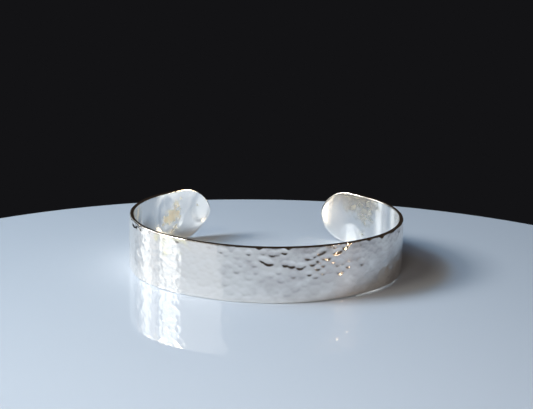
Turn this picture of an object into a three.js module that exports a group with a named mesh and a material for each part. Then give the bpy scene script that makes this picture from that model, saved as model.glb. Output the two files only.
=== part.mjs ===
// A hammered open cuff bracelet, cut from one strip of sheet silver, planished on its outer face and bent
// to an oval. Millimetres, +Z up. The cuff stands on its lower edge at z = 0, with the origin under the
// middle of its outline.
// The front of the cuff faces -Y and its opening faces +Y.
import * as THREE from "three";

// The strip, lying flat before it is bent
const bandHeight = 12.7;
const sheetThickness = 1.0;
const endTaper = 7.3; // length over which each end narrows to its tip
const endFullness = 1.8; // exponent of an end's outline: 2 is an ellipse, and 1 two straight cuts
const cutFullness = 1.45; // the same for the lower half of the left end, which is cut straighter
const edgeRounding = 0.2; // filed round all the way along the outline
const edgeThinning = 0.09; // sheet that the hammer has drawn off the outer face at its edges
const thinningPower = 3; // exponent by which that thinning grows towards an edge

// The lower edge isn't quite level, and stands clear of the surface under the right half of the front
const edgeLift = 0.3; // at its highest
const liftStart = 0.026; // share of half the strip's length, from the front
const liftEnd = 0.76; // share of half the strip's length, from the front
const liftSharpness = 6; // exponent by which the lift dies away up the band

// The bend from above: front, side and back arcs, each tangent to the next, with radii on the outer face
const frontRadius = 35.6;
const sideRadius = 23.7;
const backRadius = 37.5;
const sideArcStart = 40.7; // degrees turned from the middle of the front
const backArcStart = 130.4; // degrees turned from the middle of the front
const openingWidth = 27.4; // between the two tips, along the middle of the sheet

// The hammer marks
const markWidth = 2.6; // across the print of one blow
const markDepth = 0.055;
const markSpacing = 2.05;
const markJitter = 0.34; // share of the spacing by which a blow strays
const widthSpread = 0.2; // share by which a print is wider or narrower than the others
const lightestBlow = 0.25; // share of markDepth
const heaviestBlow = 0.9; // share of markDepth
const deepClearance = 0.75; // share of their reach at which a light blow gives way to a deep one
const blendPower = 5; // how sharp the ridge is where two prints overlap

// Deeper blows, most of them on the front. Along is a share of half the strip's length, and up is one of the
// band's height. Width and depth are shares of a mark's own, slimness is the short way across a print as a
// share of the long way, and lean is the turn of its long way in degrees, rising to the right.
const deepMarks = [
  { along: -0.470, up: 0.98, width: 1.80, depth: 2.2, slimness: 0.55, lean: 10 },
  { along: -0.130, up: 0.89, width: 0.60, depth: 0.9, slimness: 1.00, lean: -30 },
  { along: -0.075, up: 0.68, width: 0.60, depth: 0.9, slimness: 1.00, lean: 0 },
  { along: -0.050, up: 0.89, width: 0.60, depth: 1.4, slimness: 1.00, lean: -25 },
  { along: -0.034, up: 0.69, width: 0.60, depth: 0.9, slimness: 1.00, lean: -20 },
  { along: -0.030, up: 0.57, width: 0.60, depth: 0.8, slimness: 1.10, lean: 0 },
  { along: -0.022, up: 1.02, width: 0.60, depth: 1.8, slimness: 1.10, lean: 0 },
  { along: -0.010, up: 0.91, width: 0.60, depth: 0.8, slimness: 1.00, lean: -20 },
  { along: -0.005, up: 0.77, width: 1.30, depth: 1.7, slimness: 0.50, lean: -15 },
  { along: 0.006, up: 0.73, width: 1.00, depth: 2.4, slimness: 0.60, lean: -5 },
  { along: 0.014, up: 0.51, width: 0.60, depth: 0.8, slimness: 1.00, lean: 0 },
  { along: 0.016, up: 0.89, width: 0.90, depth: 1.3, slimness: 0.70, lean: 0 },
  { along: 0.032, up: 0.90, width: 0.60, depth: 1.0, slimness: 1.00, lean: 10 },
  { along: 0.034, up: 0.58, width: 0.65, depth: 0.9, slimness: 1.00, lean: 0 },
  { along: 0.040, up: 0.43, width: 0.70, depth: 0.8, slimness: 1.00, lean: 0 },
  { along: 0.049, up: 0.92, width: 0.60, depth: 1.7, slimness: 1.00, lean: 0 },
  { along: 0.052, up: 0.71, width: 0.70, depth: 2.2, slimness: 0.90, lean: -15 },
  { along: 0.059, up: 1.02, width: 0.60, depth: 1.8, slimness: 1.10, lean: 0 },
  { along: 0.070, up: 0.69, width: 0.80, depth: 2.4, slimness: 0.85, lean: -5 },
  { along: 0.076, up: 0.51, width: 0.65, depth: 1.2, slimness: 1.10, lean: 0 },
  { along: 0.094, up: 0.66, width: 0.85, depth: 2.6, slimness: 0.85, lean: -10 },
  { along: 0.106, up: 0.68, width: 0.50, depth: 1.6, slimness: 1.00, lean: 0 },
  { along: 0.115, up: 0.81, width: 0.60, depth: 1.6, slimness: 1.00, lean: 0 },
  { along: 0.122, up: 0.52, width: 0.60, depth: 1.6, slimness: 0.80, lean: 0 },
  { along: 0.127, up: 0.78, width: 0.45, depth: 1.4, slimness: 0.80, lean: 0 },
  { along: 0.131, up: 0.70, width: 0.75, depth: 1.9, slimness: 0.80, lean: 5 },
  { along: 0.134, up: 0.83, width: 0.60, depth: 1.4, slimness: 0.80, lean: 10 },
  { along: 0.140, up: 0.46, width: 0.60, depth: 1.4, slimness: 0.80, lean: 0 },
  { along: 0.144, up: 0.75, width: 0.50, depth: 1.8, slimness: 0.90, lean: 10 },
  { along: 0.146, up: 0.61, width: 0.65, depth: 1.7, slimness: 0.80, lean: 0 },
  { along: 0.155, up: 0.89, width: 1.05, depth: 2.3, slimness: 0.55, lean: 25 },
  { along: 0.156, up: 0.71, width: 0.50, depth: 1.4, slimness: 0.90, lean: 30 },
  { along: 0.160, up: 0.78, width: 0.50, depth: 1.5, slimness: 1.00, lean: 0 },
  { along: 0.161, up: 0.66, width: 0.60, depth: 1.5, slimness: 0.80, lean: 0 },
  { along: 0.163, up: 0.52, width: 0.65, depth: 1.3, slimness: 0.80, lean: 0 },
  { along: 0.177, up: 0.78, width: 0.65, depth: 2.4, slimness: 0.90, lean: 5 },
  { along: 0.195, up: 0.71, width: 0.65, depth: 1.3, slimness: 0.80, lean: 0 },
  { along: 0.200, up: 0.96, width: 0.65, depth: 1.3, slimness: 0.80, lean: 0 },
  { along: 0.206, up: 0.87, width: 1.05, depth: 3.0, slimness: 0.55, lean: 20 },
  { along: 0.213, up: 0.66, width: 0.95, depth: 2.2, slimness: 1.00, lean: 0 },
  { along: 0.217, up: 0.53, width: 0.95, depth: 2.2, slimness: 1.00, lean: 0 },
  { along: 0.229, up: 0.94, width: 0.75, depth: 2.4, slimness: 0.80, lean: 10 },
  { along: 0.237, up: 1.02, width: 0.90, depth: 2.8, slimness: 1.00, lean: 0 },
  { along: 0.241, up: 0.59, width: 0.70, depth: 1.6, slimness: 0.80, lean: 0 },
  { along: 0.270, up: 0.71, width: 0.70, depth: 1.1, slimness: 1.10, lean: 0 },
  { along: 0.290, up: 0.61, width: 0.70, depth: 1.5, slimness: 1.10, lean: 10 },
  { along: 0.315, up: 1.04, width: 0.80, depth: 2.0, slimness: 1.00, lean: 0 },
  { along: 0.368, up: 1.03, width: 0.80, depth: 2.4, slimness: 1.00, lean: 10 },
  { along: 0.445, up: 1.12, width: 1.80, depth: 3.4, slimness: 0.75, lean: 0 },
];

// How finely the surface is divided
const stationPitch = 0.85; // along the strip
const faceRings = 8; // from the middle line to an edge, on the hammered outer face
const innerRings = 2; // the same on the smooth inner face
const endSteps = 18; // round each end

const halfHeight = bandHeight / 2;
const rounding = Math.min(edgeRounding, sheetThickness / 4);
const bevel = rounding * (1 - Math.SQRT1_2); // how far the middle of the rounding lies in from its two faces

// The plan of the cuff's middle surface: arcs that start at the middle of the front and turn towards one tip.
function planArcs() {
  const neutral = (outerRadius) => outerRadius - sheetThickness / 2;
  const radii = [frontRadius, sideRadius, backRadius].map(neutral);
  const starts = [0, sideArcStart, backArcStart].map(THREE.MathUtils.degToRad);
  const centre = new THREE.Vector2(0, 0);
  const arcs = radii.map((radius, i) => {
    if (i > 0) {
      const shift = radii[i - 1] - radius;
      centre.x += shift * Math.sin(starts[i]);
      centre.y -= shift * Math.cos(starts[i]);
    }
    return { radius, start: starts[i], end: starts[i + 1], centre: centre.clone() };
  });
  const back = arcs[2];
  back.end = Math.PI - Math.asin((openingWidth / 2 - back.centre.x) / back.radius);
  return arcs;
}

const arcs = planArcs();
const arcLength = (arc) => arc.radius * (arc.end - arc.start);
const halfLength = arcs.reduce((sum, arc) => sum + arcLength(arc), 0);
const straightHalf = halfLength - endTaper;
const stations = Math.max(2, Math.round((2 * straightHalf) / stationPitch));
const stationAlong = (station) => straightHalf * ((2 * station) / stations - 1);

// Position and outward direction on the middle surface, at a signed distance along the strip from the front.
function planPoint(along) {
  let rest = Math.abs(along);
  let arc = arcs[0];
  for (const next of arcs.slice(1)) {
    if (rest <= arcLength(arc)) break;
    rest -= arcLength(arc);
    arc = next;
  }
  const turn = arc.start + rest / arc.radius;
  const side = along < 0 ? -1 : 1;
  const outward = new THREE.Vector2(side * Math.sin(turn), -Math.cos(turn));
  const position = new THREE.Vector2(side * arc.centre.x, arc.centre.y).addScaledVector(outward, arc.radius);
  return { position, outward };
}

// A repeatable number from 0 to 1 for each blow, so that the marks look struck by hand.
function scatter(column, row, channel) {
  const wave = Math.sin(column * 12.9898 + row * 78.233 + channel * 37.719) * 43758.5453;
  return wave - Math.floor(wave);
}

// Every hammer mark as its middle, its radius and its depth. Rows are staggered like bricks, and the blows
// leave room for the deep ones.
function hammerMarks() {
  const marks = deepMarks.map((mark) => ({
    along: mark.along * halfLength,
    up: (mark.up - 0.5) * bandHeight,
    radius: (mark.width * markWidth) / 2,
    depth: mark.depth * markDepth,
    slimness: mark.slimness,
    lean: THREE.MathUtils.degToRad(mark.lean),
  }));
  const deepCount = marks.length;
  const lastColumn = Math.ceil(halfLength / markSpacing);
  const lastRow = Math.ceil(halfHeight / markSpacing);
  for (let column = -lastColumn; column <= lastColumn; column++) {
    for (let row = -lastRow; row <= lastRow; row++) {
      const stagger = column % 2 === 0 ? 0 : 0.5;
      const strayAlong = markJitter * (2 * scatter(column, row, 1) - 1);
      const strayUp = markJitter * (2 * scatter(column, row, 2) - 1);
      const along = (column + strayAlong) * markSpacing;
      const up = (row + stagger + strayUp) * markSpacing;
      const radius = (markWidth / 2) * (1 + widthSpread * (2 * scatter(column, row, 3) - 1));
      const force = scatter(column, row, 4) ** 2;
      const depth = markDepth * THREE.MathUtils.lerp(lightestBlow, heaviestBlow, force);
      const crowded = marks.slice(0, deepCount).some(
        (deep) => Math.hypot(deep.along - along, deep.up - up) < deepClearance * (deep.radius + radius / 2),
      );
      if (!crowded) marks.push({ along, up, radius, depth, slimness: 1, lean: 0 });
    }
  }
  return marks;
}

const marks = hammerMarks();

// How far the outer face lies inside the plain sheet: the drawn edges, and the flat-bottomed prints, blended
// where they overlap.
function hammeredInset(along, up) {
  const thinned = edgeThinning * Math.abs(up / halfHeight) ** thinningPower;
  let sum = 0;
  for (const mark of marks) {
    const right = along - mark.along;
    const above = up - mark.up;
    const longWay = (right * Math.cos(mark.lean) + above * Math.sin(mark.lean)) / mark.radius;
    const acrossWay = above * Math.cos(mark.lean) - right * Math.sin(mark.lean);
    const shortWay = acrossWay / (mark.radius * mark.slimness);
    const reach = longWay ** 2 + shortWay ** 2;
    if (reach < 1) sum += (mark.depth * (1 - reach ** 2) ** 2) ** blendPower;
  }
  return thinned + sum ** (1 / blendPower);
}

// The strip's flat outline, anticlockwise. Each point belongs to a station on the middle line.
function outline() {
  const points = [];
  const straight = (direction) => {
    for (let i = 0; i <= stations; i++) {
      const station = direction > 0 ? i : stations - i;
      points.push({ station, along: stationAlong(station), up: -direction * halfHeight });
    }
  };
  const end = (direction) => {
    const station = direction > 0 ? stations : 0;
    for (let i = 1; i < endSteps; i++) {
      const angle = Math.PI * (i / endSteps - 0.5);
      const power = 2 / (direction < 0 && angle > 0 ? cutFullness : endFullness);
      const reach = endTaper * Math.cos(angle) ** power;
      const rise = Math.sign(angle) * halfHeight * Math.abs(Math.sin(angle)) ** power;
      points.push({ station, along: direction * (straightHalf + reach), up: direction * rise });
    }
  };
  straight(1);
  end(1);
  straight(-1);
  end(-1);
  return points;
}

// The rings that run round the sheet, from the outer middle line over the edge to the inner middle line. Each
// has its share of the way out from the middle line, its distance in from the edge, and its depth below the
// face that it belongs to, which is the plain inner face or the hammered outer one.
function sheetRings() {
  const faceRing = (share, inner) => ({ share, back: rounding, depth: 0, inner });
  const roundedEdge = [
    { share: 1, back: bevel, depth: bevel, inner: false },
    { share: 1, back: 0, depth: rounding, inner: false },
    { share: 1, back: 0, depth: rounding, inner: true },
    { share: 1, back: bevel, depth: bevel, inner: true },
  ];
  const shares = (count) => Array.from({ length: count }, (_, i) => (i + 1) / count);
  return [
    ...shares(faceRings).map((share) => faceRing(share, false)),
    ...roundedEdge,
    ...shares(innerRings).reverse().map((share) => faceRing(share, true)),
  ];
}

// How far the lower edge is raised at a distance along the strip.
function liftAt(along) {
  const share = (along / halfLength - liftStart) / (liftEnd - liftStart);
  return share > 0 && share < 1 ? edgeLift * Math.sin(Math.PI * share) ** 2 : 0;
}

// A flat point of the sheet, carried on to the bent cuff.
function bentPoint(along, up, depth, inner) {
  const { position, outward } = planPoint(along);
  const inset = inner ? sheetThickness - depth : hammeredInset(along, up) + depth;
  const place = position.addScaledVector(outward, sheetThickness / 2 - inset);
  const lift = liftAt(along) * Math.max(0, -up / halfHeight) ** liftSharpness;
  return [place.x, place.y, halfHeight + up + lift];
}

function cuffGeometry() {
  const edge = outline();
  const positions = [];
  const triangles = [];
  const addPoint = (...place) => positions.push(bentPoint(...place)) - 1;

  const ringLoop = ({ share, back, depth, inner }) =>
    edge.map((point) => {
      const middle = stationAlong(point.station);
      const span = Math.hypot(point.along - middle, point.up);
      const reach = (share * (span - back)) / span;
      return addPoint(middle + (point.along - middle) * reach, point.up * reach, depth, inner);
    });
  // The lower and the upper half share the points of the middle line.
  const middleLoop = (inner) => {
    const line = [];
    for (let station = 0; station <= stations; station++) {
      line.push(addPoint(stationAlong(station), 0, 0, inner));
    }
    return edge.map((point) => line[point.station]);
  };
  const addTriangle = (...corners) => {
    if (new Set(corners).size === 3) triangles.push(...corners);
  };

  const loops = [middleLoop(false), ...sheetRings().map(ringLoop), middleLoop(true)];
  for (let ring = 1; ring < loops.length; ring++) {
    const from = loops[ring - 1];
    const to = loops[ring];
    for (let i = 0; i < edge.length; i++) {
      const next = (i + 1) % edge.length;
      addTriangle(from[i], to[i], to[next]);
      addTriangle(from[i], to[next], from[next]);
    }
  }
  const geometry = new THREE.BufferGeometry();
  geometry.setAttribute("position", new THREE.Float32BufferAttribute(positions.flat(), 3));
  geometry.setIndex(triangles);
  geometry.computeVertexNormals();
  geometry.computeBoundingBox();
  const middle = geometry.boundingBox.getCenter(new THREE.Vector3());
  return geometry.translate(-middle.x, -middle.y, -geometry.boundingBox.min.z);
}

const polishedSilver = new THREE.MeshStandardMaterial({ color: 0xe9e7e2, metalness: 1, roughness: 0.18 });

const cuffBand = new THREE.Mesh(cuffGeometry(), polishedSilver);
cuffBand.name = "cuff_band";

const cuff = new THREE.Group();
cuff.add(cuffBand);

export default cuff;
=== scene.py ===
"""A hammered open cuff bracelet in polished silver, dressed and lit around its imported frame.

The cuff is one strip of sheet silver. Its fine mesh repeats the frame's own sizes at a closer pitch, so
that each hammer mark has its true hollow and its ridge. Lengths are in metres, +Z is up, and the front of
the cuff faces -Y.
"""

import logging
import math
from dataclasses import dataclass, field
from enum import Enum, IntEnum
from typing import Any

import bpy
import numpy as np
from mathutils import Matrix, Vector


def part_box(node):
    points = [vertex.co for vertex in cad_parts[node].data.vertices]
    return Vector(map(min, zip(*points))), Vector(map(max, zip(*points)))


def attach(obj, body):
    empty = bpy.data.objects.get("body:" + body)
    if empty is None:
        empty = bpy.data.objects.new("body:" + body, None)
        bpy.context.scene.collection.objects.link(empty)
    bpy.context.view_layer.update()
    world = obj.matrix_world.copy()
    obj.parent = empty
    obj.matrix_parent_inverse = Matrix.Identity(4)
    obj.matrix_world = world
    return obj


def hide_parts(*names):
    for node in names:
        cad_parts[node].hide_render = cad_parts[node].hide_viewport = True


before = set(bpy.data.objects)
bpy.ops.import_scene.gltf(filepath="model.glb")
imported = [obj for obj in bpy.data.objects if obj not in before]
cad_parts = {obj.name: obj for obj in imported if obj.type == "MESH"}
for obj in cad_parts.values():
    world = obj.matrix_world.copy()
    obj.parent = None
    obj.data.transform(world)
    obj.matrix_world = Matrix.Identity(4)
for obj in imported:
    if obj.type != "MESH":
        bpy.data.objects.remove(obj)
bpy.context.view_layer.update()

CUFF_NODE = "cuff_band"
PLACE = "strip_place"  # mesh attribute: along the strip, up the band and through the sheet
MM = 0.001
Colour = tuple[float, float, float]
Triple = tuple[float, float, float]  # a place or a stretch
LOG = logging.getLogger("cuff")


class Zone(Enum):
    """The three finishes of the cuff, in the order of its material slots."""

    HAMMERED = 0
    FILED = 1
    INNER = 2


# The strip and its bend


@dataclass(frozen=True)
class Arc:
    """One arc of the plan: its radius and centre, and the angles at which it starts and ends."""

    radius: float
    centre: tuple[float, float]
    start: float
    end: float

    @property
    def length(self) -> float:
        """Length along the arc."""
        return self.radius * (self.end - self.start)


@dataclass
class Strip:
    """The flat strip and the oval that it is bent to, measured on the middle of the sheet."""

    height: float
    thickness: float = 1.0 * MM
    end_taper: float = 7.3 * MM
    end_fullness: float = 1.8
    cut_fullness: float = 1.45  # of the lower half of the left end
    edge_lift: float = 0.3 * MM
    lift_start: float = 0.026
    lift_end: float = 0.76
    lift_sharpness: float = 6.0
    edge_rounding: float = 0.2 * MM
    front_radius: float = 35.6 * MM
    side_radius: float = 23.7 * MM
    back_radius: float = 37.5 * MM
    side_arc_start: float = math.radians(40.7)
    back_arc_start: float = math.radians(130.4)
    opening_width: float = 27.4 * MM
    arcs: list[Arc] = field(init=False)

    def __post_init__(self) -> None:
        """Work out the three tangent arcs from the front to one tip."""
        radii = [r - self.thickness / 2 for r in (self.front_radius, self.side_radius, self.back_radius)]
        starts = [0.0, self.side_arc_start, self.back_arc_start]
        x, y = 0.0, 0.0
        centres = [(x, y)]
        for before, radius, turn in zip(radii, radii[1:], starts[1:]):
            x += (before - radius) * math.sin(turn)
            y -= (before - radius) * math.cos(turn)
            centres.append((x, y))
        tip_turn = math.pi - math.asin((self.opening_width / 2 - x) / radii[-1])
        ends = starts[1:] + [tip_turn]
        self.arcs = [Arc(r, c, s, e) for r, c, s, e in zip(radii, centres, starts, ends)]

    @property
    def half_length(self) -> float:
        """Length of the middle line from the front to a tip."""
        return sum(arc.length for arc in self.arcs)

    @property
    def straight_half(self) -> float:
        """Length of one half before its end starts to narrow."""
        return self.half_length - self.end_taper

    def lift(self, along: np.ndarray, up: np.ndarray) -> np.ndarray:
        """Measure how far the lower edge is raised where it stands clear of the floor.

        Args:
            along: Signed distances from the front along the middle line.
            up: Heights above the middle line.

        Returns:
            The rises, in metres.
        """
        share = (along / self.half_length - self.lift_start) / (self.lift_end - self.lift_start)
        bump = np.sin(np.pi * np.clip(share, 0, 1)) ** 2
        return self.edge_lift * bump * np.clip(-2 * up / self.height, 0, 1) ** self.lift_sharpness

    def bend(self, along: np.ndarray, outside: np.ndarray) -> np.ndarray:
        """Carry places on the flat strip on to the bent plan.

        Args:
            along: Signed distances from the front along the middle line.
            outside: Distances outwards from the middle line.

        Returns:
            An array of x and y places.
        """
        rest = np.abs(along)
        turn = np.empty_like(rest)
        radius = np.empty_like(rest)
        centre = np.empty(rest.shape + (2,))
        begun = 0.0
        for arc in self.arcs:
            here = rest >= begun
            turn[here] = arc.start + (rest[here] - begun) / arc.radius
            radius[here] = arc.radius
            centre[here] = arc.centre
            begun += arc.length
        side = np.where(along < 0, -1.0, 1.0)
        reach = radius + outside
        x = side * (centre[..., 0] + reach * np.sin(turn))
        y = centre[..., 1] - reach * np.cos(turn)
        return np.stack([x, y], axis=-1)


# The hammer marks


@dataclass(frozen=True)
class Blow:
    """A deep hammer mark, as shares of half the strip, the band's height, a mark's width and a mark's depth.

    Its short way across is a share of the long way, which leans by so many degrees, rising to the right.
    """

    along: float
    up: float
    width: float
    depth: float
    slimness: float
    lean: float


@dataclass(frozen=True)
class Print:
    """A hammer mark in metres and radians, placed along the strip and above its middle line."""

    along: float
    up: float
    radius: float
    depth: float
    slimness: float = 1.0
    lean: float = 0.0

    def hollow(self, along: np.ndarray, up: np.ndarray) -> np.ndarray:
        """Measure the depth of this one print, which has a flat bottom.

        Args:
            along: Distances along the strip.
            up: Heights above the middle line.

        Returns:
            The depths, in metres.
        """
        right, above = along - self.along, up - self.up
        long_way = (right * math.cos(self.lean) + above * math.sin(self.lean)) / self.radius
        across = above * math.cos(self.lean) - right * math.sin(self.lean)
        short_way = across / (self.radius * self.slimness)
        reach = long_way**2 + short_way**2
        return self.depth * np.clip(1 - reach**2, 0, 1) ** 2


DEEP_BLOWS = (
    Blow(-0.470, 0.98, 1.80, 2.2, 0.55, 10),
    Blow(-0.130, 0.89, 0.60, 0.9, 1.00, -30),
    Blow(-0.075, 0.68, 0.60, 0.9, 1.00, 0),
    Blow(-0.050, 0.89, 0.60, 1.4, 1.00, -25),
    Blow(-0.034, 0.69, 0.60, 0.9, 1.00, -20),
    Blow(-0.030, 0.57, 0.60, 0.8, 1.10, 0),
    Blow(-0.022, 1.02, 0.60, 1.8, 1.10, 0),
    Blow(-0.010, 0.91, 0.60, 0.8, 1.00, -20),
    Blow(-0.005, 0.77, 1.30, 1.7, 0.50, -15),
    Blow(0.006, 0.73, 1.00, 2.4, 0.60, -5),
    Blow(0.014, 0.51, 0.60, 0.8, 1.00, 0),
    Blow(0.016, 0.89, 0.90, 1.3, 0.70, 0),
    Blow(0.032, 0.90, 0.60, 1.0, 1.00, 10),
    Blow(0.034, 0.58, 0.65, 0.9, 1.00, 0),
    Blow(0.040, 0.43, 0.70, 0.8, 1.00, 0),
    Blow(0.049, 0.92, 0.60, 1.7, 1.00, 0),
    Blow(0.052, 0.71, 0.70, 2.2, 0.90, -15),
    Blow(0.059, 1.02, 0.60, 1.8, 1.10, 0),
    Blow(0.070, 0.69, 0.80, 2.4, 0.85, -5),
    Blow(0.076, 0.51, 0.65, 1.2, 1.10, 0),
    Blow(0.094, 0.66, 0.85, 2.6, 0.85, -10),
    Blow(0.106, 0.68, 0.50, 1.6, 1.00, 0),
    Blow(0.115, 0.81, 0.60, 1.6, 1.00, 0),
    Blow(0.122, 0.52, 0.60, 1.6, 0.80, 0),
    Blow(0.127, 0.78, 0.45, 1.4, 0.80, 0),
    Blow(0.131, 0.70, 0.75, 1.9, 0.80, 5),
    Blow(0.134, 0.83, 0.60, 1.4, 0.80, 10),
    Blow(0.140, 0.46, 0.60, 1.4, 0.80, 0),
    Blow(0.144, 0.75, 0.50, 1.8, 0.90, 10),
    Blow(0.146, 0.61, 0.65, 1.7, 0.80, 0),
    Blow(0.155, 0.89, 1.05, 2.3, 0.55, 25),
    Blow(0.156, 0.71, 0.50, 1.4, 0.90, 30),
    Blow(0.160, 0.78, 0.50, 1.5, 1.00, 0),
    Blow(0.161, 0.66, 0.60, 1.5, 0.80, 0),
    Blow(0.163, 0.52, 0.65, 1.3, 0.80, 0),
    Blow(0.177, 0.78, 0.65, 2.4, 0.90, 5),
    Blow(0.195, 0.71, 0.65, 1.3, 0.80, 0),
    Blow(0.200, 0.96, 0.65, 1.3, 0.80, 0),
    Blow(0.206, 0.87, 1.05, 3.0, 0.55, 20),
    Blow(0.213, 0.66, 0.95, 2.2, 1.00, 0),
    Blow(0.217, 0.53, 0.95, 2.2, 1.00, 0),
    Blow(0.229, 0.94, 0.75, 2.4, 0.80, 10),
    Blow(0.237, 1.02, 0.90, 2.8, 1.00, 0),
    Blow(0.241, 0.59, 0.70, 1.6, 0.80, 0),
    Blow(0.270, 0.71, 0.70, 1.1, 1.10, 0),
    Blow(0.290, 0.61, 0.70, 1.5, 1.10, 10),
    Blow(0.315, 1.04, 0.80, 2.0, 1.00, 0),
    Blow(0.368, 1.03, 0.80, 2.4, 1.00, 10),
    Blow(0.445, 1.12, 1.80, 3.4, 0.75, 0),
)


# Shallow dents of the inner face, left where the bending tool pressed.
INNER_DENTS = (
    Blow(0.880, 0.10, 3.00, 3.2, 1.00, 0),
    Blow(-0.870, 0.71, 1.20, 1.0, 0.30, -8),
    Blow(-0.825, 0.60, 2.20, 2.5, 1.60, 0),
    Blow(-0.870, 0.45, 1.60, 2.0, 1.30, 0),
    Blow(-0.965, 0.60, 2.60, 3.0, 1.30, 0),
)


class Draw(IntEnum):
    """What a blow's repeatable number is drawn for."""

    ALONG = 1
    UP = 2
    WIDTH = 3
    FORCE = 4
    RIPPLE_ALONG = 5
    RIPPLE_UP = 6


SCATTER_WAVES = (12.9898, 78.233, 37.719)  # radians for each column, row and draw
SCATTER_SWING = 43758.5453  # makes neighbouring blows unlike each other


def scatter(column: Any, row: Any, draw: Draw) -> Any:
    """Give a repeatable number from 0 to 1 for one blow, or for each blow of an array.

    Args:
        column: The blow's place along the strip.
        row: The blow's place up the band.
        draw: What the number is for.

    Returns:
        The number, or an array of them.
    """
    by_column, by_row, by_draw = SCATTER_WAVES
    wave = np.sin(column * by_column + row * by_row + draw * by_draw) * SCATTER_SWING
    return wave - np.floor(wave)


@dataclass
class HammerWork:
    """The hammered relief of the outer face."""

    strip: Strip
    mark_width: float = 2.6 * MM
    mark_depth: float = 0.055 * MM
    spacing: float = 2.05 * MM
    jitter: float = 0.34
    width_spread: float = 0.2
    lightest: float = 0.25
    heaviest: float = 0.9
    deep_clearance: float = 0.75
    blend_power: float = 5.0
    edge_thinning: float = 0.09 * MM
    thinning_power: int = 3
    ripple_width: float = 1.2 * MM
    ripple_depth: float = 0.1 * MM
    ripple_level: float = 0.17  # share of its depth at which the ripple neither adds nor takes silver
    ripple_front: float = 0.25  # strength at the middle of the front, as a share of that at the sides
    ripple_reach: float = 0.42  # share of half the strip over which it grows to its full strength

    def strike(self, blow: Blow) -> Print:
        """Turn a blow's shares into lengths."""
        return Print(
            blow.along * self.strip.half_length,
            (blow.up - 0.5) * self.strip.height,
            blow.width * self.mark_width / 2,
            blow.depth * self.mark_depth,
            blow.slimness,
            math.radians(blow.lean),
        )

    def marks(self) -> list[Print]:
        """List the print of every blow, the deep ones first."""
        strip = self.strip
        deep = [self.strike(blow) for blow in DEEP_BLOWS]
        light = []
        last_column = math.ceil(strip.half_length / self.spacing)
        last_row = math.ceil(strip.height / 2 / self.spacing)
        for column in range(-last_column, last_column + 1):
            for row in range(-last_row, last_row + 1):
                stagger = 0.5 * (column % 2)
                stray_along = self.jitter * (2 * scatter(column, row, Draw.ALONG) - 1)
                stray_up = self.jitter * (2 * scatter(column, row, Draw.UP) - 1)
                along = (column + stray_along) * self.spacing
                up = (row + stagger + stray_up) * self.spacing
                wider = self.width_spread * (2 * scatter(column, row, Draw.WIDTH) - 1)
                radius = self.mark_width / 2 * (1 + wider)
                force = scatter(column, row, Draw.FORCE) ** 2
                depth = self.mark_depth * (self.lightest + (self.heaviest - self.lightest) * force)
                crowded = any(
                    math.hypot(d.along - along, d.up - up) < self.deep_clearance * (d.radius + radius / 2)
                    for d in deep
                )
                if not crowded:
                    light.append(Print(along, up, radius, depth))
        return deep + light

    def ripple(self, along: np.ndarray, up: np.ndarray) -> np.ndarray:
        """Measure the low ripple that the last light blows leave between the prints.

        Args:
            along: Distances along the strip.
            up: Heights above the middle line.

        Returns:
            The depths, in metres.
        """
        column, row = along / self.ripple_width, up / self.ripple_width
        nearest = np.full_like(along, np.inf)
        for aside in (-1, 0, 1):
            for above in (-1, 0, 1):
                cell_along = np.floor(column) + aside
                cell_up = np.floor(row) + above
                gone_along = cell_along + scatter(cell_along, cell_up, Draw.RIPPLE_ALONG) - column
                gone_up = cell_up + scatter(cell_along, cell_up, Draw.RIPPLE_UP) - row
                nearest = np.minimum(nearest, gone_along**2 + gone_up**2)
        towards_side = np.clip(np.abs(along) / (self.ripple_reach * self.strip.half_length), 0, 1) ** 2
        strength = self.ripple_front + (1 - self.ripple_front) * towards_side
        return self.ripple_depth * strength * (self.ripple_level - nearest)

    def inset(self, along: np.ndarray, up: np.ndarray) -> np.ndarray:
        """Measure how far the hammered face lies inside the plain sheet.

        Args:
            along: Distances along the strip.
            up: Heights above the middle line.

        Returns:
            The depths, in metres.
        """
        total = np.zeros_like(along)
        for mark in self.marks():
            total += (mark.hollow(along, up) / self.mark_depth) ** self.blend_power
        thinned = self.edge_thinning * np.abs(up / (self.strip.height / 2)) ** self.thinning_power
        return thinned + self.mark_depth * total ** (1 / self.blend_power) + self.ripple(along, up)


# Shader nodes


LINE_OCTAVES = 4.0
LINE_SOFTNESS = 0.12  # rise of the noise over which a scratch fades in
CLOUD_OCTAVES = 6.0
CLOUD_SOFTNESS = 0.22  # rise of the noise over which a cloud of tarnish fades in
PATCH_PULL = 0.34  # how much thicker the tarnish lies at the middle of a patch


def add_node(tree: bpy.types.NodeTree, kind: str, **settings: Any) -> bpy.types.Node:
    """Add a node and set its properties.

    Args:
        tree: The node tree that takes it.
        kind: The node's type name.
        **settings: Properties by name.

    Returns:
        The new node.
    """
    node = tree.nodes.new(kind)
    for name, value in settings.items():
        setattr(node, name, value)
    return node


def feed(tree: bpy.types.NodeTree, socket: bpy.types.NodeSocket, value: Any) -> None:
    """Link an output to a socket, or set the socket's own value.

    Args:
        tree: The node tree.
        socket: The input to feed.
        value: Another node's output, or a plain value.
    """
    if isinstance(value, bpy.types.NodeSocket):
        tree.links.new(value, socket)
    else:
        socket.default_value = value


def calculate(tree: bpy.types.NodeTree, operation: str, *values: Any) -> bpy.types.NodeSocket:
    """Add a math node.

    Args:
        tree: The node tree.
        operation: The math node's operation.
        *values: Its inputs, as outputs or numbers.

    Returns:
        The node's output.
    """
    node = add_node(tree, "ShaderNodeMath", operation=operation)
    for socket, value in zip(node.inputs, values):
        feed(tree, socket, value)
    return node.outputs[0]


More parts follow.
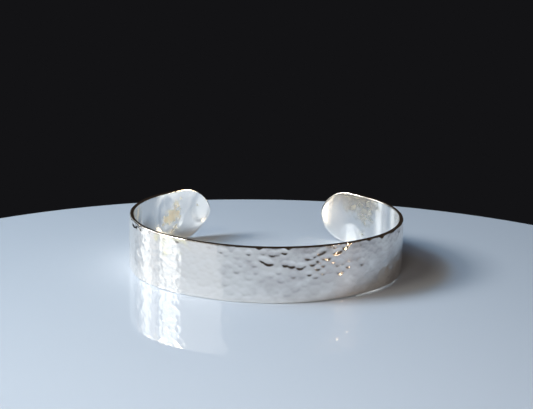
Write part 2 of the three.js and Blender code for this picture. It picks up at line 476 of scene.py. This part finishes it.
def remap(
    tree: bpy.types.NodeTree, value: Any, low: Any, high: Any, to_low: Any, to_high: Any
) -> bpy.types.NodeSocket:
    """Map a range of values smoothly on to another.

    Args:
        tree: The node tree.
        value: The value to map.
        low: Start of its range.
        high: End of its range.
        to_low: Result at the start.
        to_high: Result at the end.

    Returns:
        The mapped value.
    """
    node = add_node(tree, "ShaderNodeMapRange", interpolation_type="SMOOTHSTEP")
    ends = {"From Min": low, "From Max": high, "To Min": to_low, "To Max": to_high}
    for name, item in {"Value": value, **ends}.items():
        feed(tree, node.inputs[name], item)
    return node.outputs["Result"]


def stretched_noise(
    tree: bpy.types.NodeTree, place: Any, stretch: Any, scale: Any, detail: float
) -> bpy.types.NodeSocket:
    """Add noise over strip places that are multiplied by a stretch.

    Args:
        tree: The node tree.
        place: The strip place.
        stretch: Factors along, up and through.
        scale: Repeats for each metre.
        detail: Octaves.

    Returns:
        The noise's value.
    """
    product = add_node(tree, "ShaderNodeVectorMath", operation="MULTIPLY")
    feed(tree, product.inputs[0], place)
    feed(tree, product.inputs[1], stretch)
    noise = add_node(tree, "ShaderNodeTexNoise", noise_dimensions="3D")
    feed(tree, noise.inputs["Vector"], product.outputs[0])
    feed(tree, noise.inputs["Scale"], scale)
    noise.inputs["Detail"].default_value = detail
    return noise.outputs["Fac"]


def new_group(
    name: str, inputs: dict[str, tuple[str, Any]], outputs: dict[str, str]
) -> tuple[bpy.types.NodeTree, Any, Any]:
    """Start a shader node group with named sockets.

    Args:
        name: The group's name.
        inputs: Socket type and default by name.
        outputs: Socket type by name.

    Returns:
        The group, its input node and its output node.
    """
    group = bpy.data.node_groups.new(name, "ShaderNodeTree")
    for label, (kind, default) in inputs.items():
        socket = group.interface.new_socket(label, in_out="INPUT", socket_type=kind)
        socket.default_value = default
    for label, kind in outputs.items():
        group.interface.new_socket(label, in_out="OUTPUT", socket_type=kind)
    return group, group.nodes.new("NodeGroupInput"), group.nodes.new("NodeGroupOutput")


def polishing_lines() -> bpy.types.NodeTree:
    """Build the group that draws fine scratches left by polishing and wear.

    Returns:
        The node group, which puts out a height and a mask.
    """
    group, given, result = new_group(
        "polishing lines",
        {
            "Place": ("NodeSocketVector", (0, 0, 0)),
            "Stretch": ("NodeSocketVector", (1, 8, 8)),
            "Density": ("NodeSocketFloat", 900.0),
            "Threshold": ("NodeSocketFloat", 0.6),
        },
        {"Height": "NodeSocketFloat", "Mask": "NodeSocketFloat"},
    )
    labels = ("Place", "Stretch", "Density", "Threshold")
    place, stretch, density, threshold = (given.outputs[label] for label in labels)
    fine = stretched_noise(group, place, stretch, density, LINE_OCTAVES)
    upper = calculate(group, "ADD", threshold, LINE_SOFTNESS)
    lines = remap(group, fine, threshold, upper, 0.0, 1.0)
    group.links.new(calculate(group, "SUBTRACT", 1.0, lines), result.inputs["Height"])
    group.links.new(lines, result.inputs["Mask"])
    return group


def bloom_and_glint_group() -> bpy.types.NodeTree:
    """Build the group that clouds silver with a thin grey and straw-coloured tarnish, and that also lays the
    painted warm reflection of the inner face.

    Returns:
        The node group, which puts out a colour and a mask.
    """
    group, given, result = new_group(
        "silver bloom",
        {
            "Place": ("NodeSocketVector", (0, 0, 0)),
            "Scale": ("NodeSocketFloat", 180.0),
            "Cover": ("NodeSocketFloat", 0.5),
            "Patch": ("NodeSocketVector", (0, 0, 0)),
            "Patch Reach": ("NodeSocketFloat", 0.0),
            "Clean": ("NodeSocketColor", (1, 1, 1, 1)),
            "Tarnish And Glint": ("NodeSocketColor", (0.7, 0.68, 0.62, 1)),
        },
        {"Color": "NodeSocketColor", "Mask": "NodeSocketFloat"},
    )
    place = given.outputs["Place"]
    clouds = stretched_noise(group, place, (1, 1, 1), given.outputs["Scale"], CLOUD_OCTAVES)
    threshold = calculate(group, "SUBTRACT", 1.0, given.outputs["Cover"])
    away = add_node(group, "ShaderNodeVectorMath", operation="DISTANCE")
    group.links.new(place, away.inputs[0])
    group.links.new(given.outputs["Patch"], away.inputs[1])
    near = remap(group, away.outputs["Value"], 0.0, given.outputs["Patch Reach"], 1.0, 0.0)
    lowered = calculate(group, "SUBTRACT", threshold, calculate(group, "MULTIPLY", near, PATCH_PULL))
    full = calculate(group, "ADD", lowered, CLOUD_SOFTNESS)
    mask = remap(group, clouds, lowered, full, 0.0, 1.0)
    mix = add_node(group, "ShaderNodeMix", data_type="RGBA")
    group.links.new(mask, mix.inputs["Factor"])
    group.links.new(given.outputs["Clean"], mix.inputs["A"])
    group.links.new(given.outputs["Tarnish And Glint"], mix.inputs["B"])
    group.links.new(mix.outputs["Result"], result.inputs["Color"])
    group.links.new(mask, result.inputs["Mask"])
    return group


@dataclass(frozen=True)
class SilverFinish:
    """One finish of the silver: its colour and tarnish, its gloss, and its scratches.

    Tarnish gathers in the patch. A second tint colours the silver round its own place and dulls it by its
    haze: a straw-coloured stain on the hammered face, and a painted warm reflection on the inner face.
    """

    name: str
    clean: Colour
    tarnished: Colour
    cover: float
    cloud_scale: float
    gloss: float
    hazed: float
    line_stretch: Triple
    line_density: float
    line_threshold: float
    line_depth: float
    patch: Triple = (0.0, 0.0, 0.0)
    patch_reach: float = 0.5 * MM
    grain: float = 0.0
    stain_and_glint: Colour = (1.0, 1.0, 1.0)
    stain_and_glint_cover: float = 0.3
    stain_and_glint_place: Triple = (0.0, 0.0, 0.0)
    stain_and_glint_reach: float = 0.5 * MM
    stain_and_glint_haze: float = 0.0

    def material(self, lines: bpy.types.NodeTree, bloom_and_glint: bpy.types.NodeTree) -> bpy.types.Material:
        """Build the material.

        Args:
            lines: The polishing lines group.
            bloom_and_glint: The group that lays the tarnish, the stain and the painted warm reflection.

        Returns:
            The finished material.
        """
        material = bpy.data.materials.new(self.name)
        material.use_nodes = True
        tree = material.node_tree
        shader = tree.nodes["Principled BSDF"]
        place = add_node(tree, "ShaderNodeAttribute", attribute_name=PLACE).outputs["Vector"]

        clouding = add_node(tree, "ShaderNodeGroup", node_tree=bloom_and_glint)
        for label, value in (
            ("Place", place),
            ("Scale", self.cloud_scale),
            ("Cover", self.cover),
            ("Patch", self.patch),
            ("Patch Reach", self.patch_reach),
            ("Clean", (*self.clean, 1.0)),
            ("Tarnish And Glint", (*self.tarnished, 1.0)),
        ):
            feed(tree, clouding.inputs[label], value)

        # Second tint round one place: a straw-coloured stain on the hammered face, and a painted warm
        # reflection over the inner face's left end.
        staining_and_glint = add_node(tree, "ShaderNodeGroup", node_tree=bloom_and_glint)
        for label, value in (
            ("Place", place),
            ("Scale", self.cloud_scale),
            ("Cover", self.stain_and_glint_cover),
            ("Patch", self.stain_and_glint_place),
            ("Patch Reach", self.stain_and_glint_reach),
            ("Clean", clouding.outputs["Color"]),
            ("Tarnish And Glint", (*self.stain_and_glint, 1.0)),
        ):
            feed(tree, staining_and_glint.inputs[label], value)

        scratching = add_node(tree, "ShaderNodeGroup", node_tree=lines)
        for label, value in (
            ("Place", place),
            ("Stretch", self.line_stretch),
            ("Density", self.line_density),
            ("Threshold", self.line_threshold),
        ):
            feed(tree, scratching.inputs[label], value)

        spread = self.hazed - self.gloss
        dull = calculate(tree, "MULTIPLY_ADD", clouding.outputs["Mask"], spread, self.gloss)
        worn = calculate(tree, "MULTIPLY_ADD", scratching.outputs["Mask"], spread / 2, dull)
        hazed_by_stain_and_glint = calculate(tree, "MULTIPLY_ADD", staining_and_glint.outputs["Mask"], self.stain_and_glint_haze, worn)
        bump = add_node(tree, "ShaderNodeBump")
        bump.inputs["Distance"].default_value = self.line_depth
        tree.links.new(scratching.outputs["Height"], bump.inputs["Height"])

        shader.inputs["Metallic"].default_value = 1.0
        shader.inputs["Anisotropic"].default_value = self.grain
        grain = add_node(tree, "ShaderNodeTangent", direction_type="RADIAL", axis="Z")
        tree.links.new(grain.outputs["Tangent"], shader.inputs["Tangent"])
        tree.links.new(staining_and_glint.outputs["Color"], shader.inputs["Base Color"])
        tree.links.new(hazed_by_stain_and_glint, shader.inputs["Roughness"])
        tree.links.new(bump.outputs["Normal"], shader.inputs["Normal"])
        return material


HAMMERED_SILVER = SilverFinish(
    name="hammered silver",
    clean=(0.96, 0.905, 0.845),
    tarnished=(0.83, 0.775, 0.735),
    cover=0.36,
    cloud_scale=260.0,
    gloss=0.12,
    hazed=0.22,
    line_stretch=(1.0, 5.0, 5.0),
    line_density=1500.0,
    line_threshold=0.62,
    line_depth=0.0006 * MM,
    patch=(0.018, 0.0, 0.0),
    patch_reach=0.05,
    stain_and_glint=(1.0, 0.9, 0.62),
    stain_and_glint_place=(-0.022, 0.0075, 0.0),
    stain_and_glint_reach=0.011,
)

FILED_SILVER = SilverFinish(
    name="filed silver edge",
    clean=(0.8, 0.77, 0.73),
    tarnished=(0.62, 0.56, 0.48),
    cover=0.45,
    cloud_scale=500.0,
    gloss=0.08,
    hazed=0.16,
    line_stretch=(1.0, 10.0, 10.0),
    line_density=2400.0,
    line_threshold=0.52,
    line_depth=0.0015 * MM,
)

INNER_SILVER = SilverFinish(
    name="worn inner silver",
    clean=(0.93, 0.92, 0.9),
    tarnished=(0.66, 0.65, 0.6),
    cover=0.34,
    cloud_scale=420.0,
    gloss=0.11,
    hazed=0.28,
    line_stretch=(1.0, 9.0, 9.0),
    line_density=1300.0,
    line_threshold=0.6,
    line_depth=0.001 * MM,
    patch=(0.064, 0.0035, 0.0),
    patch_reach=0.011,
    grain=0.75,
    # Painted warm reflection on the inner face's left end, with a haze that makes it rougher there.
    stain_and_glint=(1.0, 0.87, 0.64),
    stain_and_glint_place=(-0.0650, -0.0005, 0.0),
    stain_and_glint_reach=0.009,
    stain_and_glint_haze=0.3,
)


# The cuff


@dataclass(frozen=True)
class Ring:
    """A ring of points round the sheet.

    It has its share of the way out, its distance in from the edge, and its depth below its own face.
    """

    share: float
    back: float
    depth: float
    inner: bool


@dataclass
class CuffBand:
    """The whole cuff: a bent strip with a hammered outer face, a filed edge and a smooth inner face."""

    strip: Strip
    work: HammerWork
    station_pitch: float = 0.24 * MM
    face_rings: int = 34
    inner_rings: int = 24
    edge_steps: int = 5
    end_steps: int = 64
    weld_reach: float = 1e-4 * MM

    def outline(self) -> tuple[np.ndarray, np.ndarray]:
        """Trace the flat outline anticlockwise.

        Returns:
            The edge points as along and up, and the place on the middle line that each belongs to.
        """
        strip = self.strip
        half = strip.height / 2
        stations = round(2 * strip.straight_half / self.station_pitch)
        line = np.linspace(-strip.straight_half, strip.straight_half, stations + 1)
        angle = np.pi * (np.arange(1, self.end_steps) / self.end_steps - 0.5)
        lower = np.stack([line, np.full_like(line, -half)], axis=1)
        tips = []
        for upper_fullness in (strip.end_fullness, strip.cut_fullness):
            power = 2 / np.where(angle > 0, upper_fullness, strip.end_fullness)
            reach = strip.straight_half + strip.end_taper * np.cos(angle) ** power
            rise = half * np.sign(angle) * np.abs(np.sin(angle)) ** power
            tips.append(np.stack([reach, rise], axis=1))
        edge = np.concatenate([lower, tips[0], -lower, -tips[1]])
        middle = np.concatenate([line, np.full_like(angle, line[-1]), -line, np.full_like(angle, line[0])])
        return edge, middle

    def rings(self) -> list[Ring]:
        """List the rings from the outer middle line, over the rounded edge, to the inner middle line."""
        rounding = self.strip.edge_rounding
        turns = [math.pi / 2 * step / self.edge_steps for step in range(1, self.edge_steps + 1)]
        outer = [Ring(i / self.face_rings, rounding, 0.0, False) for i in range(1, self.face_rings + 1)]
        over = [Ring(1.0, rounding * (1 - math.sin(t)), rounding * (1 - math.cos(t)), False) for t in turns]
        under = [Ring(1.0, ring.back, ring.depth, True) for ring in reversed(over)]
        inner = [Ring(i / self.inner_rings, rounding, 0.0, True) for i in range(self.inner_rings, 0, -1)]
        return outer + over + under + inner

    def bent(self, along: np.ndarray, up: np.ndarray, depth: float, inner: bool) -> np.ndarray:
        """Place flat points of one face on the bent cuff.

        Args:
            along: Distances along the strip.
            up: Heights above the middle line.
            depth: Depth below the face.
            inner: Whether they belong to the inner face.

        Returns:
            An array of x, y and z places.
        """
        thickness = self.strip.thickness
        if inner:
            inset = thickness - depth - sum(self.work.strike(dent).hollow(along, up) for dent in INNER_DENTS)
        else:
            inset = self.work.inset(along, up) + depth
        plan = self.strip.bend(along, thickness / 2 - inset)
        return np.column_stack([plan, self.strip.height / 2 + up + self.strip.lift(along, up)])

    def build(self) -> bpy.types.Object:
        """Build the closed mesh, centred on the frame's own cuff.

        Returns:
            The cuff as one object, each face marked with the index of one of three finishes.
        """
        edge, middle = self.outline()
        count = len(edge)
        outward = edge - np.column_stack([middle, np.zeros(count)])
        span = np.hypot(*outward.T)
        ring_list = self.rings()
        flat = [(middle, np.zeros(count), 0.0, False)]
        for ring in ring_list:
            reach = ring.share * (span - ring.back) / span
            flat.append((middle + outward[:, 0] * reach, outward[:, 1] * reach, ring.depth, ring.inner))
        flat.append((middle, np.zeros(count), 0.0, True))
        places = np.concatenate([self.bent(*row) for row in flat])
        strip_places = np.concatenate(
            [
                np.column_stack([along, up, np.full(count, self.strip.thickness - depth if inner else depth)])
                for along, up, depth, inner in flat
            ]
        )

        # Points of the middle lines that fall together become one.
        rounded = np.round(places / self.weld_reach).astype(np.int64)
        _, first, where = np.unique(rounded, axis=0, return_index=True, return_inverse=True)
        where = where.reshape(-1)
        faces: list[tuple[int, ...]] = []
        zones: list[int] = []
        first_edge = self.face_rings
        first_inner = first_edge + 2 * self.edge_steps
        for band in range(len(flat) - 1):
            if band < first_edge:
                zone = Zone.HAMMERED
            elif band < first_inner:
                zone = Zone.FILED
            else:
                zone = Zone.INNER
            here = where[band * count : (band + 1) * count]
            there = where[(band + 1) * count : (band + 2) * count]
            for a, b, c, d in zip(here, there, np.roll(there, -1), np.roll(here, -1)):
                corners = tuple(dict.fromkeys((int(a), int(b), int(c), int(d))))
                if len(corners) > 2:
                    faces.append(corners)
                    zones.append(zone.value)

        points = places[first]
        points[:, :2] += self.frame_shift(points)
        mesh = bpy.data.meshes.new("hammered_cuff")
        mesh.from_pydata(points.tolist(), [], faces)
        mesh.polygons.foreach_set("material_index", zones)
        mesh.polygons.foreach_set("use_smooth", [True] * len(faces))
        attribute = mesh.attributes.new(PLACE, "FLOAT_VECTOR", "POINT")
        attribute.data.foreach_set("vector", strip_places[first].astype(np.float32).ravel())
        mesh.validate()
        mesh.update()
        cuff = bpy.data.objects.new("hammered_cuff", mesh)
        bpy.context.scene.collection.objects.link(cuff)
        return cuff

    def frame_shift(self, points: np.ndarray) -> np.ndarray:
        """Measure the move that centres the mesh on the frame's cuff.

        Args:
            points: The mesh's points.

        Returns:
            The move in x and y.
        """
        low, high = (np.array(corner)[:2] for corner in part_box(CUFF_NODE))
        here = (points[:, :2].min(axis=0) + points[:, :2].max(axis=0)) / 2
        return (low + high) / 2 - here

    def dress(self, cuff: bpy.types.Object) -> None:
        """Give each zone its finish.

        Args:
            cuff: The cuff's object.
        """
        lines = polishing_lines()
        bloom_and_glint = bloom_and_glint_group()
        finishes = {Zone.HAMMERED: HAMMERED_SILVER, Zone.FILED: FILED_SILVER, Zone.INNER: INNER_SILVER}
        for zone in Zone:
            cuff.data.materials.append(finishes[zone].material(lines, bloom_and_glint))


# The studio


def towards(turn: float, rise: float) -> Vector:
    """Give the direction of a place in the studio.

    Args:
        turn: Degrees round from -Y, where the camera stands, towards +X.
        rise: Degrees above the floor.

    Returns:
        A unit vector.
    """
    a, e = math.radians(turn), math.radians(rise)
    return Vector((math.sin(a) * math.cos(e), -math.cos(a) * math.cos(e), math.sin(e)))


def facing(place: Vector, target: Vector) -> Matrix:
    """Turn a light at a place towards a target.

    Args:
        place: Where the light stands.
        target: What it looks at.

    Returns:
        The world matrix.
    """
    turn = (target - place).to_track_quat("-Z", "Y").to_matrix().to_4x4()
    return Matrix.Translation(place) @ turn


class Shows(Enum):
    """Where the light of a panel shows."""

    EVERYWHERE = "everywhere"
    ON_THE_FLOOR = "on the floor"
    IN_REFLECTIONS = "in reflections"


@dataclass(frozen=True)
class Panel:
    """A soft rectangular light, hung by its turn, rise and distance, and turned towards its aim."""

    name: str
    turn: float
    rise: float
    distance: float
    width: float
    height: float
    radiance: float
    colour: Colour
    shows: Shows = Shows.EVERYWHERE
    aim: Triple = (0.0, 0.0, 0.0)

    def hang(self) -> bpy.types.Object:
        """Put the light in the studio, facing its aim.

        Returns:
            The light's object.
        """
        data = bpy.data.lights.new(self.name, "AREA")
        data.shape = "RECTANGLE"
        data.size = self.width
        data.size_y = self.height
        data.energy = self.radiance * math.pi * self.width * self.height
        data.color = self.colour
        light = bpy.data.objects.new(self.name, data)
        bpy.context.scene.collection.objects.link(light)
        light.matrix_world = facing(towards(self.turn, self.rise) * self.distance, Vector(self.aim))
        light.visible_camera = False
        light.visible_glossy = self.shows is not Shows.ON_THE_FLOOR
        light.visible_diffuse = self.shows is not Shows.IN_REFLECTIONS
        return light


@dataclass
class Studio:
    """The pale floor, the dark backdrop, the lights and the camera."""

    floor_radius: float = 0.12
    floor_centre: tuple[float, float] = (0.0033, -0.0593)
    floor_thickness: float = 0.012
    floor_corners: int = 256
    floor_easing: float = 1.5 * MM
    floor_easing_steps: int = 4
    floor_colour: Colour = (0.55, 0.62, 0.7)
    floor_gloss: float = 0.035
    backdrop: Colour = (0.0065, 0.0065, 0.0075)
    room: Colour = (0.03, 0.022, 0.017)
    backdrop_depth: tuple[float, float] = (0.2, 0.6)  # shares of the way back over which the backdrop starts
    backdrop_height: tuple[float, float] = (0.05, 0.25)  # shares of the way up over which it ends
    camera_distance: float = 371.3 * MM
    camera_rise: float = 17.8
    camera_turn: float = -0.517
    look_down: float = 15.55
    look_turn: float = -0.504
    camera_roll: float = 1.279
    lens: float = 108.33
    sensor: float = 36.0
    nearest: float = 0.01
    farthest: float = 20.0

    def lay_floor(self) -> None:
        """Make the round pale slab that the cuff stands on."""
        bpy.ops.mesh.primitive_cylinder_add(
            vertices=self.floor_corners,
            radius=self.floor_radius,
            depth=self.floor_thickness,
            location=(*self.floor_centre, -self.floor_thickness / 2),
        )
        floor = bpy.context.object
        floor.name = "floor"
        bevel = floor.modifiers.new("eased edge", "BEVEL")
        bevel.width = self.floor_easing
        bevel.segments = self.floor_easing_steps
        bevel.limit_method = "ANGLE"
        material = bpy.data.materials.new("pale floor")
        material.use_nodes = True
        shader = material.node_tree.nodes["Principled BSDF"]
        shader.inputs["Base Color"].default_value = (*self.floor_colour, 1.0)
        shader.inputs["Roughness"].default_value = self.floor_gloss
        floor.data.materials.append(material)

    def darken(self) -> None:
        """Give the space round the floor a dark tone, nearly black low down behind the cuff."""
        world = bpy.data.worlds.new("backdrop")
        world.use_nodes = True
        tree = world.node_tree
        direction = add_node(tree, "ShaderNodeTexCoord").outputs["Generated"]
        split = add_node(tree, "ShaderNodeSeparateXYZ")
        tree.links.new(direction, split.inputs[0])
        behind = remap(tree, split.outputs["Y"], *self.backdrop_depth, 0.0, 1.0)
        low = remap(tree, split.outputs["Z"], *self.backdrop_height, 1.0, 0.0)
        mix = add_node(tree, "ShaderNodeMix", data_type="RGBA")
        tree.links.new(calculate(tree, "MULTIPLY", behind, low), mix.inputs["Factor"])
        mix.inputs["A"].default_value = (*self.room, 1.0)
        mix.inputs["B"].default_value = (*self.backdrop, 1.0)
        tree.links.new(mix.outputs["Result"], tree.nodes["Background"].inputs["Color"])
        bpy.context.scene.world = world

    def place_camera(self) -> None:
        """Set the camera at the viewing angle, with no shift."""
        data = bpy.data.cameras.new("camera")
        data.sensor_width = self.sensor
        data.lens = self.lens
        data.clip_start = self.nearest
        data.clip_end = self.farthest
        place = towards(self.camera_turn, self.camera_rise) * self.camera_distance
        back = towards(self.look_turn, self.look_down)
        turn = math.radians(self.look_turn)
        level = Vector((math.cos(turn), math.sin(turn), 0.0))
        upright = back.cross(level)
        roll = math.radians(self.camera_roll)
        right = level * math.cos(roll) + upright * math.sin(roll)
        up = upright * math.cos(roll) - level * math.sin(roll)
        axes = Matrix((right, up, back)).transposed().to_4x4()
        camera = bpy.data.objects.new("camera", data)
        bpy.context.scene.collection.objects.link(camera)
        camera.matrix_world = Matrix.Translation(place) @ axes
        bpy.context.scene.camera = camera

    def light(self) -> None:
        """Hang the panes and the pale walls on the left, the fill lights, and the warm lamp on the right."""
        floor, gloss = Shows.ON_THE_FLOOR, Shows.IN_REFLECTIONS
        panels = (
            Panel("left pane", -80.5, 34.0, 1.0, 0.34, 0.24, 31.0, (1.0, 0.97, 0.94)),
            Panel("left pane, top", -80.5, 48.0, 1.0, 0.34, 0.105, 22.0, (0.32, 0.63, 1.0), floor),
            Panel("left pane, foot", -76.0, 17.5, 1.0, 0.27, 0.32, 1.9, (0.95, 1.0, 1.0), gloss),
            Panel("back left pane", -115.0, 50.0, 1.0, 0.34, 0.24, 4.1, (0.37, 0.65, 1.0), floor),
            Panel("back left pane, middle", -115.0, 34.0, 1.0, 0.34, 0.24, 8.0, (1.0, 0.97, 0.94), gloss),
            Panel("back left pane, foot", -109.0, 17.5, 1.0, 0.22, 0.32, 1.9, (0.95, 1.0, 1.0), gloss),
            Panel("between the panes", -98.0, 20.0, 1.05, 0.26, 0.5, 0.8, (1.0, 1.0, 0.98), gloss),
            Panel("left wall", -80.0, 25.0, 1.3, 2.6, 1.15, 0.55, (1.0, 0.98, 0.95), gloss),
            Panel("far wall", -150.0, 20.0, 1.3, 0.7, 0.9, 0.5, (0.85, 0.95, 1.0), gloss),
            Panel("left fill", -80.5, 50.0, 0.3, 0.102, 0.09, 6.0, (0.64, 0.87, 1.0), floor),
            Panel("front left fill", -42.0, 50.0, 0.2, 0.06, 0.06, 9.0, (1.0, 0.88, 0.74), floor),
            Panel("front fill", 0.0, 40.0, 0.2, 0.06, 0.06, 5.5, (1.0, 0.87, 0.8), floor),
            Panel("warm lamp", 53.0, 5.0, 0.9, 0.04, 0.05, 60.0, (1.0, 0.76, 0.52), gloss),
            Panel("warm glow", 62.0, 22.0, 1.0, 0.35, 0.3, 0.35, (1.0, 0.76, 0.6), gloss),
        )
        for panel in panels:
            panel.hang()
        view = bpy.context.scene.view_settings
        view.view_transform = "Standard"
        view.look = "None"

    def glow(self, cuff: bpy.types.Object) -> None:
        """Hang a small warm light over the hollow, which the cuff's left end alone mirrors.

        Args:
            cuff: The cuff's object.
        """
        gloss = Shows.IN_REFLECTIONS
        aim = (-0.024, 0.017, 0.006)
        glow = Panel("left end glow", 103.0, 44.2, 0.0287, 0.012, 0.012, 38.0, (1.0, 0.85, 0.62), gloss, aim)
        lit = bpy.data.collections.new("lit by the glow")
        lit.objects.link(cuff)
        glow.hang().light_linking.receiver_collection = lit


def main() -> None:
    """Build the cuff and its studio in order."""
    logging.basicConfig(level=logging.INFO, format="%(name)s: %(message)s")
    studio = Studio()
    studio.place_camera()
    studio.lay_floor()
    studio.darken()
    studio.light()
    LOG.info("studio ready")

    low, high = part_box(CUFF_NODE)
    strip = Strip(height=high.z - low.z)
    band = CuffBand(strip=strip, work=HammerWork(strip=strip))
    cuff = band.build()
    band.dress(cuff)
    studio.glow(cuff)
    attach(cuff, "root")
    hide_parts(CUFF_NODE)
    strip_length = 2 * strip.half_length / MM
    LOG.info("%s: %d points, strip %.1f mm long", cuff.name, len(cuff.data.vertices), strip_length)


if __name__ == "__main__":
    main()
